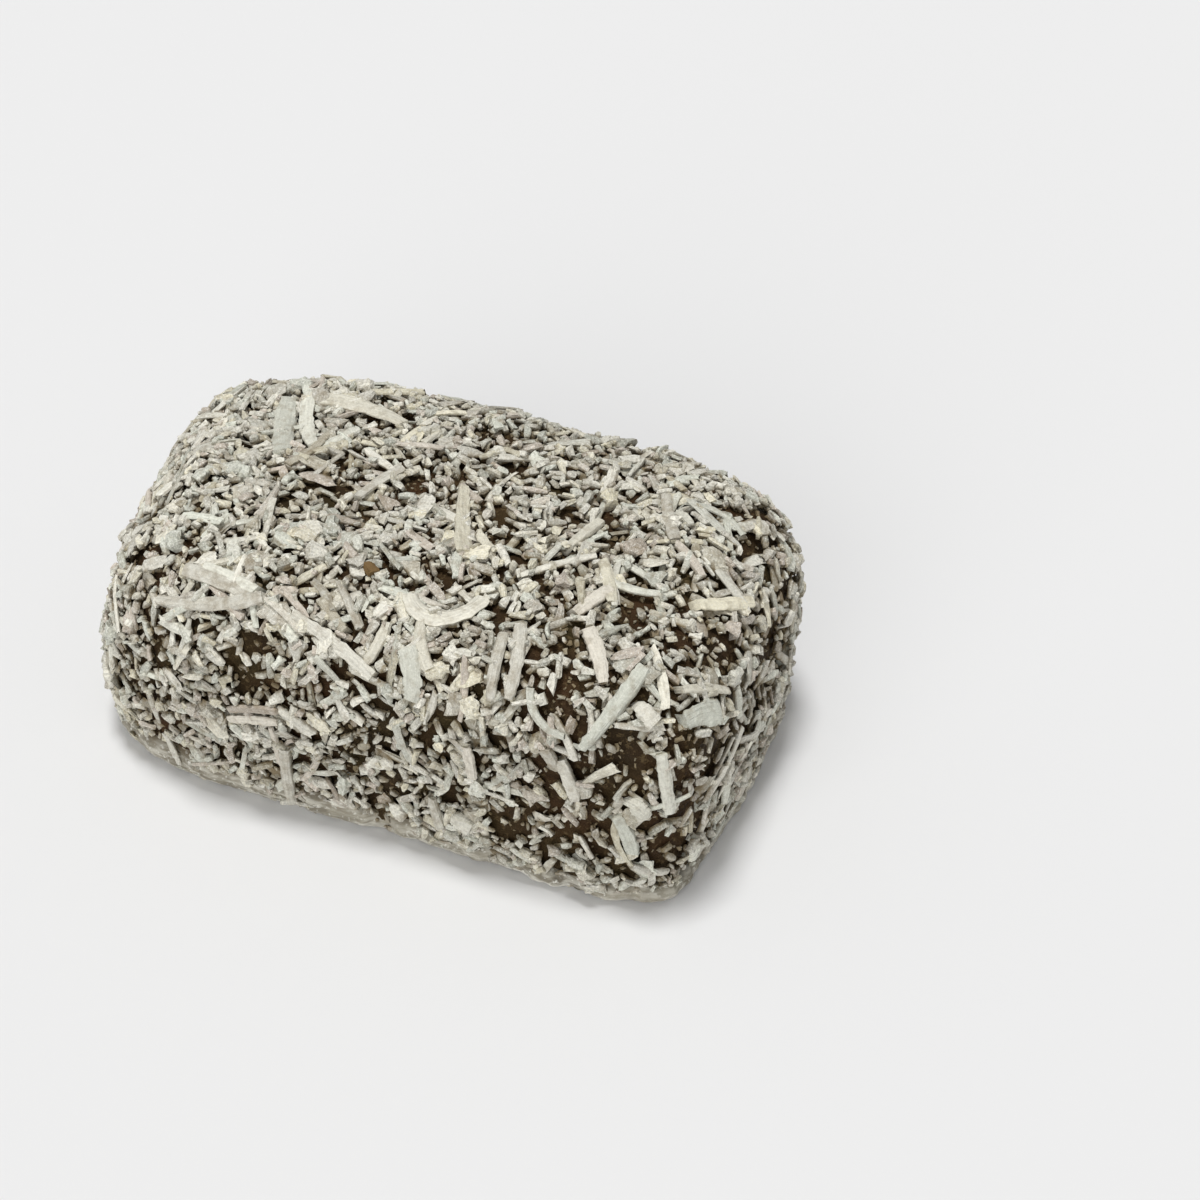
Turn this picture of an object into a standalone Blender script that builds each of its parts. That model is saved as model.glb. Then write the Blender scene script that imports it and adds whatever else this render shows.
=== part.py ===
"""Lamington cake: a bar of sponge coated in chocolate icing and coconut, as one closed solid.

The bar is uncut, so it is solid right through, out to the mean outline of its coat. +X runs along
the bar to its squarer end, +Y from its front long side to its back one, and +Z up. The origin is
the centre of the flat base that it rests on.

The outline is a superellipse, the wall swells a little and rounds over into a crowned top, and a
few gentle leans and lumps make it as uneven as a hand-dipped cake.
"""

import math

import bmesh
import bpy
import numpy as np

# Driving dimensions, in metres.
LENGTH = 0.095
WIDTH = 0.058
HEIGHT = 0.038
SHOULDER = 0.0105  # radius that rounds the wall over into the top
FOOT = 0.0022  # radius that tucks the wall under at the base
BELLY = 0.0012  # how far the wall swells at half height
CROWN = 0.0015  # how far the middle of the top rises

# Outline: |x / half length| ** n + |y / half width| ** n = 1, with a larger n at the crisp corner.
ROUND_POWER = 4.2
CRISP_POWER = 7.4
CRISP_CORNER = math.radians(-41)  # direction of the front corner at the +X end

# Leans of the hand-cut sides, in metres at their strongest.
LEFT_SLANT = 0.0035  # how much further out the left end is at the back than in the middle
LEFT_BULGE = 0.0017  # swelling of the left end low down
LEFT_BULGE_START = 0.35  # where the swelling's half wave starts at the base
LEFT_BULGE_RISE = 0.62  # how much of the half wave it runs through up to the top
LEFT_BULGE_EVEN = 0.9  # share of the swelling that is even from front to back
LEFT_BULGE_FRONT = 0.65  # how much stronger it is at the front, and weaker at the back
LEFT_LEAN = 0.0054  # how far the top of the left end is drawn in
RIGHT_TUCK = 0.0036  # how far the right end's front foot is drawn in
CORNER_SPREAD = 0.0022  # how far the front foot runs out at the right corner
WAIST = 0.0010  # how far the middle of the front foot is drawn in
WAIST_PLACE = -0.10  # where the waist is, as a share of the half length
WAIST_SPAN = 0.83  # its half span, as a share of the half length

# Lumps: a sum of sine waves that run in different directions.
LUMP_WAVES = 7
LUMP_DEPTH = 0.00036  # height of the first wave; each next one is lower
LUMP_LONGEST = 0.046  # wavelength of the first wave
LUMP_SHRINK = 0.86  # each next wave's length and height, as a share of the one before
GOLDEN_ANGLE = math.pi * (3 - math.sqrt(5))

# Steps of the mesh.
AROUND = 96
FOOT_STEPS = 3
WALL_STEPS = 8
SHOULDER_STEPS = 11
TOP_STEPS = 9

COATING_COLOUR = (0.58, 0.55, 0.46, 1.0)
COATING_ROUGHNESS = 0.85


def clear_scene():
    for thing in list(bpy.data.objects):
        bpy.data.objects.remove(thing, do_unlink=True)


def outline(angle):
    """Plan outline in the given directions, as shares of the half length and of the half width."""
    toward_corner = np.clip(np.cos(angle - CRISP_CORNER), 0, 1) ** 4
    power = ROUND_POWER + (CRISP_POWER - ROUND_POWER) * toward_corner
    cosine, sine = np.cos(angle), np.sin(angle)
    reach = (np.abs(cosine) ** power + np.abs(sine) ** power) ** (-1 / power)
    return reach * cosine, reach * sine


def wall_section():
    """Insets from the outline and heights, up the foot's arc, the wall and the shoulder's arc."""
    foot = np.linspace(0, math.pi / 2, FOOT_STEPS, endpoint=False)
    rise = np.linspace(FOOT, HEIGHT - SHOULDER, WALL_STEPS, endpoint=False)
    over = np.linspace(0, math.pi / 2, SHOULDER_STEPS)
    inset = np.concatenate(
        [FOOT * (1 - np.sin(foot)), np.zeros(WALL_STEPS), SHOULDER * (1 - np.cos(over))]
    )
    height = np.concatenate(
        [FOOT * (1 - np.cos(foot)), rise, HEIGHT - SHOULDER * (1 - np.sin(over))]
    )
    return inset - BELLY * np.sin(math.pi * height / HEIGHT), height


def lean(points):
    """Move the even bar's points to the leaning, crowned shape; the base stays flat."""
    x, y, z = points[..., 0], points[..., 1], points[..., 2]
    along, across, up = 2 * x / LENGTH, 2 * y / WIDTH, z / HEIGHT
    left, right, front = np.clip(-along, 0, 1), np.clip(along, 0, 1), np.clip(-across, 0, 1)
    low = 1 - up
    corner = (np.clip((1 + along) / 2, 0, 1) * np.clip((1 - across) / 2, 0, 1)) ** 3
    waist = front**3 * np.exp(-(((along - WAIST_PLACE) / WAIST_SPAN) ** 2))
    wave = np.sin(math.pi * (LEFT_BULGE_START + LEFT_BULGE_RISE * up))
    bulge = wave * (LEFT_BULGE_EVEN - LEFT_BULGE_FRONT * across)
    leaning_x = (
        x
        - LEFT_SLANT * across * (1 - along) / 2
        - LEFT_BULGE * left**2 * bulge
        + LEFT_LEAN * left**2 * up**2
        - RIGHT_TUCK * right**3 * front * low
    )
    leaning_y = y - CORNER_SPREAD * corner * low + WAIST * waist * low
    crowned_z = z + CROWN * up**2 * (1 - along**2) * (1 - across**2)
    return np.stack([leaning_x, leaning_y, crowned_z], axis=-1)


def lump(points):
    """Raise and sink the points by a few long waves, fading to nothing at the flat base."""
    up = np.clip(points[..., 2:] / HEIGHT, 0, 1)
    moved = points.copy()
    for wave in range(LUMP_WAVES):
        turn = wave * GOLDEN_ANGLE
        direction = np.array([math.cos(turn), math.sin(turn), math.sin(2 * turn)])
        shrink = LUMP_SHRINK**wave
        phase = 2 * math.pi * points @ direction / (LUMP_LONGEST * shrink) + turn
        shift = np.stack([np.sin(phase), np.sin(phase + 2), np.sin(phase + 4)], axis=-1)
        moved += LUMP_DEPTH * shrink * shift * up
    return moved


def bar_rings():
    """Rings of points from the edge of the base up the wall and in over the top."""
    along, across = outline(np.linspace(0, 2 * math.pi, AROUND, endpoint=False))
    inset, height = (column[:, None] for column in wall_section())
    wall = np.stack(
        [
            along * (LENGTH / 2 - inset),
            across * (WIDTH / 2 - inset),
            np.repeat(height, AROUND, axis=1),
        ],
        axis=-1,
    )
    share = 1 - np.arange(1, TOP_STEPS + 1) / TOP_STEPS
    top = wall[-1] * np.stack([share, share, np.ones(TOP_STEPS)], axis=-1)[:, None]
    return lump(lean(np.concatenate([wall, top])))


def centred(rings):
    """Shift the rings so that their box is centred on the origin in plan."""
    low, high = rings.min(axis=(0, 1)), rings.max(axis=(0, 1))
    middle = (low + high) / 2
    return rings - np.array([middle[0], middle[1], 0.0])


def bar_mesh(name, rings):
    """Closed mesh: a flat base, quads between the rings, and a fan to the middle of the top."""
    build = bmesh.new()
    loops = [[build.verts.new(point) for point in ring] for ring in rings[:-1]]
    middle = build.verts.new(rings[-1].mean(axis=0))
    build.faces.new(loops[0][::-1])
    for lower, upper in zip(loops, loops[1:]):
        for i in range(AROUND):
            j = (i + 1) % AROUND
            build.faces.new((lower[i], lower[j], upper[j], upper[i]))
    for i in range(AROUND):
        build.faces.new((loops[-1][i], loops[-1][(i + 1) % AROUND], middle))
    mesh = bpy.data.meshes.new(name)
    build.to_mesh(mesh)
    build.free()
    mesh.shade_smooth()
    return mesh


def coating_material():
    """Pale, dry coconut over chocolate, as one mean colour."""
    material = bpy.data.materials.new("coconut")
    material.use_nodes = True
    surface = material.node_tree.nodes["Principled BSDF"]
    surface.inputs["Base Color"].default_value = COATING_COLOUR
    surface.inputs["Roughness"].default_value = COATING_ROUGHNESS
    surface.inputs["Metallic"].default_value = 0.0
    return material


def add_lamington():
    """The whole cake: one solid bar."""
    mesh = bar_mesh("lamington", centred(bar_rings()))
    mesh.materials.append(coating_material())
    bar = bpy.data.objects.new("lamington", mesh)
    bpy.context.scene.collection.objects.link(bar)
    return bar


def main():
    clear_scene()
    add_lamington()


main()
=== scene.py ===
"""Lamington cake: the finished look of the bar, laid around the fixed frame.

The frame's solid is the mean outline of the coat. Here it gives way to a chocolate-iced bar a little
inside that outline, a foot of pressed coconut around its base, and the coconut itself: grains,
crumbs, chips, flakes, shreds and threads that lie on the icing and on each other.
"""

import math
from functools import lru_cache

import bpy
import numpy as np
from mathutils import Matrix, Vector


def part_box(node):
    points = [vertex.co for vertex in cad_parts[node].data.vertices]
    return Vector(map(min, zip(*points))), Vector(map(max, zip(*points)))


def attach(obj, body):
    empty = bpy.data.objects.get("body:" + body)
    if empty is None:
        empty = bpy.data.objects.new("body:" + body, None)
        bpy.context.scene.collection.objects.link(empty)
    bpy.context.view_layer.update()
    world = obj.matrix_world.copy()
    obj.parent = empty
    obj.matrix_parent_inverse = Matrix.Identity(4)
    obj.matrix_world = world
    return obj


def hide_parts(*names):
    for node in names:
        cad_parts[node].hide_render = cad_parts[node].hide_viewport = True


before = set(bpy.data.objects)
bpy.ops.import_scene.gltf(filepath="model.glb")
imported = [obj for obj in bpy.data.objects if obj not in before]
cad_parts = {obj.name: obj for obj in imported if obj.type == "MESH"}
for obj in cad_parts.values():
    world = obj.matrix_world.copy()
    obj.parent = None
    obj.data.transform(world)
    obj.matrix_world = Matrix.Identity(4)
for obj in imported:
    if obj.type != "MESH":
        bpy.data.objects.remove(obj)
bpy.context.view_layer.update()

bl_info = {
    "name": "Lamington Cake",
    "version": (1, 0, 0),
    "blender": (4, 5, 0),
    "location": "View3D > Sidebar > Lamington",
    "description": "Ices a lamington and rolls it in shredded coconut",
    "category": "Object",
}

MM = 0.001
NODE = "lamington"
BAR_LOW, BAR_HIGH = (np.array(corner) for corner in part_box(NODE))

# --- The bar's own shape, as sizes before it is fitted to the frame's box -------------------------

LENGTH = 95 * MM
WIDTH = 58 * MM
HEIGHT = 38 * MM
SHOULDER = 10.5 * MM
FOOT = 2.2 * MM
BELLY = 1.2 * MM
CROWN = 1.5 * MM
ROUND_POWER = 4.2
CRISP_POWER = 7.4
CRISP_CORNER = math.radians(-41)
LEFT_SLANT = 3.5 * MM
LEFT_BULGE = 1.7 * MM
LEFT_BULGE_START = 0.35
LEFT_BULGE_RISE = 0.62
LEFT_BULGE_EVEN = 0.9
LEFT_BULGE_FRONT = 0.65
LEFT_LEAN = 5.4 * MM
RIGHT_TUCK = 3.6 * MM
CORNER_SPREAD = 2.2 * MM
WAIST = 1.0 * MM
WAIST_PLACE = -0.10
WAIST_SPAN = 0.83
LUMP_WAVES = 7
LUMP_DEPTH = 0.36 * MM
LUMP_LONGEST = 46 * MM
LUMP_SHRINK = 0.86
GOLDEN_ANGLE = math.pi * (3 - math.sqrt(5))


def outline(angle):
    """Plan outline |x| ** n + |y| ** n = 1, in shares of the half length and of the half width.

    n grows from ROUND_POWER to CRISP_POWER near the crisp corner, as cos(angle to it) ** 4.
    """
    toward_corner = np.clip(np.cos(angle - CRISP_CORNER), 0, 1) ** 4
    power = ROUND_POWER + (CRISP_POWER - ROUND_POWER) * toward_corner
    cosine, sine = np.cos(angle), np.sin(angle)
    reach = (np.abs(cosine) ** power + np.abs(sine) ** power) ** (-1 / power)
    return reach * cosine, reach * sine


def section(steps):
    """One run from the middle of the base to the middle of the top, as (share, inset, height) rows.

    share scales the outline towards the middle; on the foot's and shoulder's quarter circles inset
    and height are r (1 - sin q) and r (1 - cos q); the wall swells by BELLY sin(pi z / HEIGHT).
    steps gives the rings on the base, foot, wall, shoulder and top.
    """
    base, foot, wall, shoulder, top = steps
    quarter = np.linspace(0, math.pi / 2, foot, endpoint=False)
    rise = np.linspace(FOOT, HEIGHT - SHOULDER, wall, endpoint=False)
    over = np.linspace(0, math.pi / 2, shoulder)
    inner = np.linspace(0, 1, base, endpoint=False)
    outer = np.linspace(1, 0, top + 1)[1:]
    inset = np.concatenate(
        [
            np.full(base, FOOT),
            FOOT * (1 - np.sin(quarter)),
            np.zeros(wall),
            SHOULDER * (1 - np.cos(over)),
            np.full(top, SHOULDER),
        ]
    )
    height = np.concatenate(
        [
            np.zeros(base),
            FOOT * (1 - np.cos(quarter)),
            rise,
            HEIGHT - SHOULDER * (1 - np.sin(over)),
            np.full(top, HEIGHT),
        ]
    )
    share = np.concatenate([inner, np.ones(foot + wall + shoulder), outer])
    return share, inset - BELLY * np.sin(math.pi * height / HEIGHT), height


def lean(points):
    """Leans, bulge, waist and crown: shifts along x, y and z by products of x / a, y / b and z / h."""
    x, y, z = points[..., 0], points[..., 1], points[..., 2]
    along, across, up = 2 * x / LENGTH, 2 * y / WIDTH, z / HEIGHT
    left, right, front = np.clip(-along, 0, 1), np.clip(along, 0, 1), np.clip(-across, 0, 1)
    low = 1 - up
    corner = (np.clip((1 + along) / 2, 0, 1) * np.clip((1 - across) / 2, 0, 1)) ** 3
    waist = front**3 * np.exp(-(((along - WAIST_PLACE) / WAIST_SPAN) ** 2))
    wave = np.sin(math.pi * (LEFT_BULGE_START + LEFT_BULGE_RISE * up))
    bulge = wave * (LEFT_BULGE_EVEN - LEFT_BULGE_FRONT * across)
    leaning_x = (
        x
        - LEFT_SLANT * across * (1 - along) / 2
        - LEFT_BULGE * left**2 * bulge
        + LEFT_LEAN * left**2 * up**2
        - RIGHT_TUCK * right**3 * front * low
    )
    leaning_y = y - CORNER_SPREAD * corner * low + WAIST * waist * low
    crowned_z = z + CROWN * up**2 * (1 - along**2) * (1 - across**2)
    return np.stack([leaning_x, leaning_y, crowned_z], axis=-1)


def lump(points):
    """Uneven surface: each point moves by a sum of sine waves sin(k . p + phase), less near z = 0."""
    up = np.clip(points[..., 2:] / HEIGHT, 0, 1)
    moved = points.copy()
    for wave in range(LUMP_WAVES):
        turn = wave * GOLDEN_ANGLE
        direction = np.array([math.cos(turn), math.sin(turn), math.sin(2 * turn)])
        shrink = LUMP_SHRINK**wave
        phase = 2 * math.pi * points @ direction / (LUMP_LONGEST * shrink) + turn
        shift = np.stack([np.sin(phase), np.sin(phase + 2), np.sin(phase + 4)], axis=-1)
        moved += LUMP_DEPTH * shrink * shift * up
    return moved


def bar_surface(around, steps):
    """Rings of points over the whole bar, fitted to the frame's box, and their outward normals.

    A point is lump(lean(share * outline * (half size - inset), height)); its normal is the cross
    product of its differences around the ring and along the run.
    """
    along, across = outline(np.linspace(0, 2 * math.pi, around, endpoint=False))
    share, inset, height = (row[:, None] for row in section(steps))
    points = np.stack(
        [
            share * along * (LENGTH / 2 - inset),
            share * across * (WIDTH / 2 - inset),
            np.broadcast_to(height, (len(height), around)),
        ],
        axis=-1,
    )
    points = lump(lean(points))
    low, high = points.min(axis=(0, 1)), points.max(axis=(0, 1))
    points = BAR_LOW + (points - low) * (BAR_HIGH - BAR_LOW) / (high - low)
    turn = np.roll(points, -1, axis=1) - np.roll(points, 1, axis=1)
    run = np.gradient(points, axis=0)
    normals = np.cross(turn, run)
    normals[0] = (0, 0, -1)
    normals[-1] = normals[-2].mean(axis=0)
    return points, normals / np.linalg.norm(normals, axis=-1, keepdims=True)


# --- Numbers that vary over space ------------------------------------------------------------------


LATTICE = 32  # values along each side of the noise's table, which then repeats


def mottle(points, size, seed):
    """Smooth noise from -1 to 1: random lattice values, a size apart, blended by 3 t^2 - 2 t^3."""
    table = np.random.default_rng(seed).uniform(-1, 1, (LATTICE, LATTICE, LATTICE))
    place = np.asarray(points) / size
    cell = np.floor(place).astype(int)
    part = place - cell
    part = part * part * (3 - 2 * part)
    total = np.zeros(place.shape[:-1])
    for corner in np.ndindex(2, 2, 2):
        weight = np.where(corner, part, 1 - part).prod(axis=-1)
        i, j, k = np.moveaxis((cell + corner) % LATTICE, -1, 0)
        total += weight * table[i, j, k]
    return total


def mottles(points, layers, start=0.0):
    """start + the sum of strength * mottle(points, size, seed) over the layers."""
    total = start
    for strength, size, seed in layers:
        total = total + strength * mottle(points, size, seed)
    return total


# --- Directions -----------------------------------------------------------------------------------


def unit(vectors):
    return vectors / np.linalg.norm(vectors, axis=-1, keepdims=True)


def level(vectors, normal):
    """The vectors' part that lies in the plane across the normal, as unit vectors."""
    return unit(vectors - normal * (vectors * normal).sum(axis=-1, keepdims=True))


# --- The skin that coconut lies on -----------------------------------------------------------------

VOXEL = 0.8 * MM
MARGIN = 5  # voxels of room around the bar
REACH = 4  # voxels from the skin within which a point still finds it
SKIN_AROUND = 400
SKIN_STEPS = (42, 4, 40, 22, 42)


class Skin:
    """The coat's mean outline as samples, with the nearest sample to any place close to it."""

    def __init__(self):
        self.points, self.normals = bar_surface(SKIN_AROUND, SKIN_STEPS)
        self.flat_points = self.points.reshape(-1, 3)
        self.flat_normals = self.normals.reshape(-1, 3)
        self.corner = BAR_LOW - MARGIN * VOXEL
        self.shape = tuple(np.ceil((BAR_HIGH - BAR_LOW) / VOXEL).astype(int) + 2 * MARGIN + 1)
        self.nearest = self._nearest_table()
        self.areas = self._areas()

    def _nearest_table(self):
        """Every voxel near the skin holds its nearest sample: far offsets first, near ones over them."""
        table = np.zeros(self.shape, dtype=np.int32)
        home = self.voxel(self.flat_points)
        span = np.arange(-REACH, REACH + 1)
        offsets = np.stack(np.meshgrid(span, span, span, indexing="ij"), axis=-1).reshape(-1, 3)
        distance = np.linalg.norm(offsets, axis=1)
        offsets = offsets[distance <= REACH][np.argsort(-distance[distance <= REACH])]
        labels = np.arange(len(self.flat_points), dtype=np.int32)
        for offset in offsets:
            i, j, k = np.clip(home + offset, 0, np.array(self.shape) - 1).T
            table[i, j, k] = labels
        return table

    def _areas(self):
        """Area of each cell of the grid, half the cross product of its diagonals."""
        around = np.roll(self.points, -1, axis=1)
        diagonal_a = around[1:] - self.points[:-1]
        diagonal_b = self.points[1:] - around[:-1]
        return np.linalg.norm(np.cross(diagonal_a, diagonal_b), axis=-1) / 2

    def voxel(self, points):
        place = np.floor((points - self.corner) / VOXEL).astype(int)
        return np.clip(place, 0, np.array(self.shape) - 1)

    def settle(self, points):
        """Drop points onto the skin along the nearest sample's normal: places and normals there."""
        i, j, k = np.moveaxis(self.voxel(points), -1, 0)
        label = self.nearest[i, j, k]
        normal = self.flat_normals[label]
        above = ((points - self.flat_points[label]) * normal).sum(axis=-1, keepdims=True)
        return points - normal * above, normal

    def scatter(self, rng, count, kind):
        """Random places, as likely in a cell as its area times the kind's coverage at its middle."""
        middle = (self.points[:-1] + np.roll(self.points, -1, axis=1)[1:]) / 2
        weight = (self.areas * coverage(middle, self.normals[:-1], kind)).ravel()
        cell = rng.choice(weight.size, size=count, p=weight / weight.sum())
        ring, place = np.divmod(cell, SKIN_AROUND)
        beside = (place + 1) % SKIN_AROUND
        s, t = rng.random((2, count, 1))
        low = self.points[ring, place] * (1 - s) + self.points[ring, beside] * s
        high = self.points[ring + 1, place] * (1 - s) + self.points[ring + 1, beside] * s
        return low * (1 - t) + high * t


@lru_cache(maxsize=1)
def bar_skin():
    return Skin()


# --- How thickly the coconut lies ------------------------------------------------------------------

# Places where the icing shows through: x, y, z and radius in millimetres.
THIN_SPOTS = (
    (30, -30, 25, 5), (36, -31, 21, 6), (41, -29, 31, 5), (38, -30, 27, 5), (46, -28, 22, 6),
    (47, -24, 13, 5), (42, -30, 12, 6), (28, -31, 7, 4), (24, -31, 12, 4), (5, -29, 12, 4),
    (-2, -30, 19, 4), (-16, -30, 27, 4), (-30, -28, 31, 4), (-28, -19, 39, 3), (-25, -14, 40, 3),
    (13, -25, 36, 3), (29, -28, 35, 4), (28, -21, 39, 3), (23, -15, 39, 4), (34, -12, 39, 5),
    (39, -6, 39, 4), (46, -11, 35, 5), (49, -13, 30, 6), (49, 4, 22, 6), (9, -1, 40, 4),
    (1, 2, 40, 3), (17, 3, 40, 3), (6, -15, 39, 3), (12, -18, 38, 3), (-15, -3, 41, 4),
    (-7, 3, 40, 4), (-15, 4, 41, 3), (20, 22, 38, 4), (5, 30, 20, 7), (-30, 31, 14, 6),
    (28, 30, 30, 6), (-50, 2, 16, 6), (-47, -14, 26, 4), (-46, 18, 24, 5),
)
# Places where it lies thickest.
THICK_SPOTS = (
    (-16, -15, 40, 5), (-20, -21, 39, 4), (9, -10, 39, 4), (6, -25, 36, 5), (-4, -27, 35, 4),
    (28, 6, 39, 4), (37, 2, 40, 5), (7, -20, 37, 4), (15, -30, 9, 2), (-27, -3, 40, 5),
    (-10, 20, 38, 6), (30, -31, 11, 3), (10, 29, 34, 6), (-34, 8, 38, 8), (-24, 18, 38, 6),
)
FOOT_BARE = 1.4 * MM  # hardly any coconut clings to the wall below this height
FOOT_BARE_LEFT = 7.0 * MM  # and below this one at the left of the front
COAT_MOTTLE = ((0.3, 8 * MM, 11), (1.15, 1.9 * MM, 12))  # its thick and thin places: strength, size, seed
FEWEST = 0.1  # share of the coat left where both are thinnest
THICKER = 1.0  # how much more lies in the middle of a thick spot
WALL_SLOPE = 1.4  # how soon a slope counts as wall: wall = 1 - WALL_SLOPE |normal z|
WALL_LOSS = 0.2  # share missing on the walls
END_LOSS = 0.3  # share missing on the two ends
RIGHT_LOSS, RIGHT_WALL_LOSS = 0.15, 0.13  # share missing at the right end, and more on its wall
BARE_LOSS = 0.95  # share missing on the wall below the bare height
UNDER_SHARE = 0.5  # share of the coat that lies underneath


def nearness(points, spots):
    """How near points are to the nearest of some spots: exp(-(distance / radius) ** 2)."""
    most = np.zeros(points.shape[:-1])
    for x, y, z, radius in spots:
        gap = np.linalg.norm(points - np.array([x, y, z]) * MM, axis=-1) / (radius * MM)
        most = np.maximum(most, np.exp(-(gap**2)))
    return most


def coverage(points, normals, kind):
    """Share of the coat that lies at a place: clumps * spots * sides * at_foot * underneath.

    Clumps come from mottle. Less lies on the walls, on the ends, towards the right and underneath,
    and hardly any right above the foot. The kind's shy is how much of it is missing in the middle
    of a thin spot, and its rightward how much more of it lies at the right end than in the middle.
    """
    clumps = np.clip(mottles(points, COAT_MOTTLE, 1.0), FEWEST, None)
    clumps = clumps * (1 + kind.rightward * points[..., 0] / BAR_HIGH[0])
    thin = 1 - kind.shy * nearness(points, THIN_SPOTS)
    spots = thin * (1 + THICKER * nearness(points, THICK_SPOTS))
    wall = np.clip(1 - WALL_SLOPE * np.abs(normals[..., 2]), 0, 1)
    end = np.clip(np.abs(normals[..., 0]), 0, 1)
    fading = 1 - (RIGHT_LOSS + RIGHT_WALL_LOSS * wall) * points[..., 0] / BAR_HIGH[0]
    sides = (1 - WALL_LOSS * wall) * (1 - END_LOSS * end) * fading
    front_left = np.clip(0.5 - points[..., 0] / (BAR_HIGH[0] - BAR_LOW[0]), 0, 1)
    front_left = front_left * np.clip(-normals[..., 1], 0, 1) ** 2
    bare = FOOT_BARE + (FOOT_BARE_LEFT - FOOT_BARE) * front_left
    at_foot = 1 - BARE_LOSS * wall * (points[..., 2] < bare)
    underneath = np.where(normals[..., 2] < -0.5, UNDER_SHARE, 1.0)
    return clumps * spots * sides * at_foot * underneath


# --- Bits of coconut -------------------------------------------------------------------------------


RAGGED_EACH = 0.6  # each vertex's own raggedness, as a share of its whole side's
END_PUSH = 0.2  # how far an end's vertices are pushed in or out, in widths


def carry(path, normal, width, thickness, roll, sides, corner_power, rng, ragged, square_cut):
    """Carry a profile along each path: vertices (bits, rings, sides, 3) and matching UVs in metres.

    path and normal are (bits, rings, 3); width, thickness and roll are (bits, rings). The profile is
    a superellipse |y / (w / 2)| ** p + |z / (t / 2)| ** p = 1 in the plane across the path, turned by
    roll about it. Each vertex is pushed in or out by up to ragged, and the end rings are cut askew.
    """
    bits, rings = path.shape[:2]
    forward = unit(np.gradient(path, axis=1))
    up = level(normal, forward)
    side = np.cross(forward, up)
    turn = roll[..., None]
    side, up = side * np.cos(turn) + up * np.sin(turn), up * np.cos(turn) - side * np.sin(turn)
    angle = 2 * math.pi * (np.arange(sides) + 0.5 * (sides % 4 == 0)) / sides
    cosine, sine = np.cos(angle), np.sin(angle)
    reach = (np.abs(cosine) ** corner_power + np.abs(sine) ** corner_power) ** (-1 / corner_power)
    lopsided = 1 + ragged * rng.uniform(-1, 1, (bits, 1, sides))
    wobble = lopsided + RAGGED_EACH * ragged * rng.uniform(-1, 1, (bits, rings, sides))
    breadth = reach * cosine * wobble * width[..., None] / 2
    rise = reach * sine * wobble * thickness[..., None] / 2
    skew = rng.normal(0, square_cut, (bits, 2, 1)) * breadth[:, [0, -1]]
    push = np.zeros((bits, rings, sides))
    push[:, [0, -1]] = skew + END_PUSH * width[:, [0, -1], None] * rng.uniform(-1, 1, (bits, 2, sides))
    vertices = (
        path[:, :, None]
        + side[:, :, None] * breadth[..., None]
        + up[:, :, None] * rise[..., None]
        + forward[:, :, None] * push[..., None]
    )
    step = np.linalg.norm(np.diff(path, axis=1), axis=-1)
    along = np.concatenate([np.zeros((bits, 1)), np.cumsum(step, axis=1)], axis=1)
    start = rng.uniform(0, 1, (bits, 1, 1))
    u = np.broadcast_to(along[..., None] + start, breadth.shape)
    v = breadth + rise + start * 3
    return vertices, np.stack([u, v], axis=-1)


def tube_faces(bits, rings, sides):
    """Quads around each bit between its rings, and one many-sided face on each end."""
    ring, place = np.meshgrid(np.arange(rings - 1), np.arange(sides), indexing="ij")
    here, beside = ring * sides + place, ring * sides + (place + 1) % sides
    quads = np.stack([here, here + sides, beside + sides, beside], axis=-1).reshape(-1, 4)
    first = np.arange(sides)
    last = (rings - 1) * sides + np.arange(sides)[::-1]
    start = np.arange(bits)[:, None] * rings * sides
    quad_loops = (start[..., None] + quads[None]).reshape(bits, -1)
    loops = np.concatenate([quad_loops, start + first, start + last], axis=1).ravel()
    sizes = np.tile(np.concatenate([np.full(len(quads), 4), [sides, sides]]), bits)
    return loops, sizes


# A kind's form, unless it says otherwise. power shapes its section and sharp (degrees) parts its
# faces; bow, curl, twist, tilt and roll bend and turn it; ragged, taper, ends and square_cut wear it
# down; stiff, prints, shy and rightward say how and where it lies; mealy speckles it.
USUAL_SHAPE = {
    "power": 3.0, "sharp": 42, "bow": 0.05, "curl": 0.05, "twist": 0.3, "tilt": 0.15, "roll": 0.4,
    "ragged": 0.12, "taper": 0.08, "ends": 0.75, "square_cut": 0.25, "stiff": 0.5, "prints": 3,
    "shy": 0.9, "rightward": -0.1, "mealy": 1.0,
}


class Kind:
    """One kind of coconut bit: about how many, their sizes in millimetres, and how they are formed.

    The count is rounded down to the same whole number in every layer.
    """

    def __init__(self, count, length, width, thickness, rings, sides, **shape):
        self.count = count
        self.length, self.width, self.thickness = length, width, thickness
        self.rings, self.sides = rings, sides
        for key, value in {**USUAL_SHAPE, **shape}.items():
            setattr(self, key, value)


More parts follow.
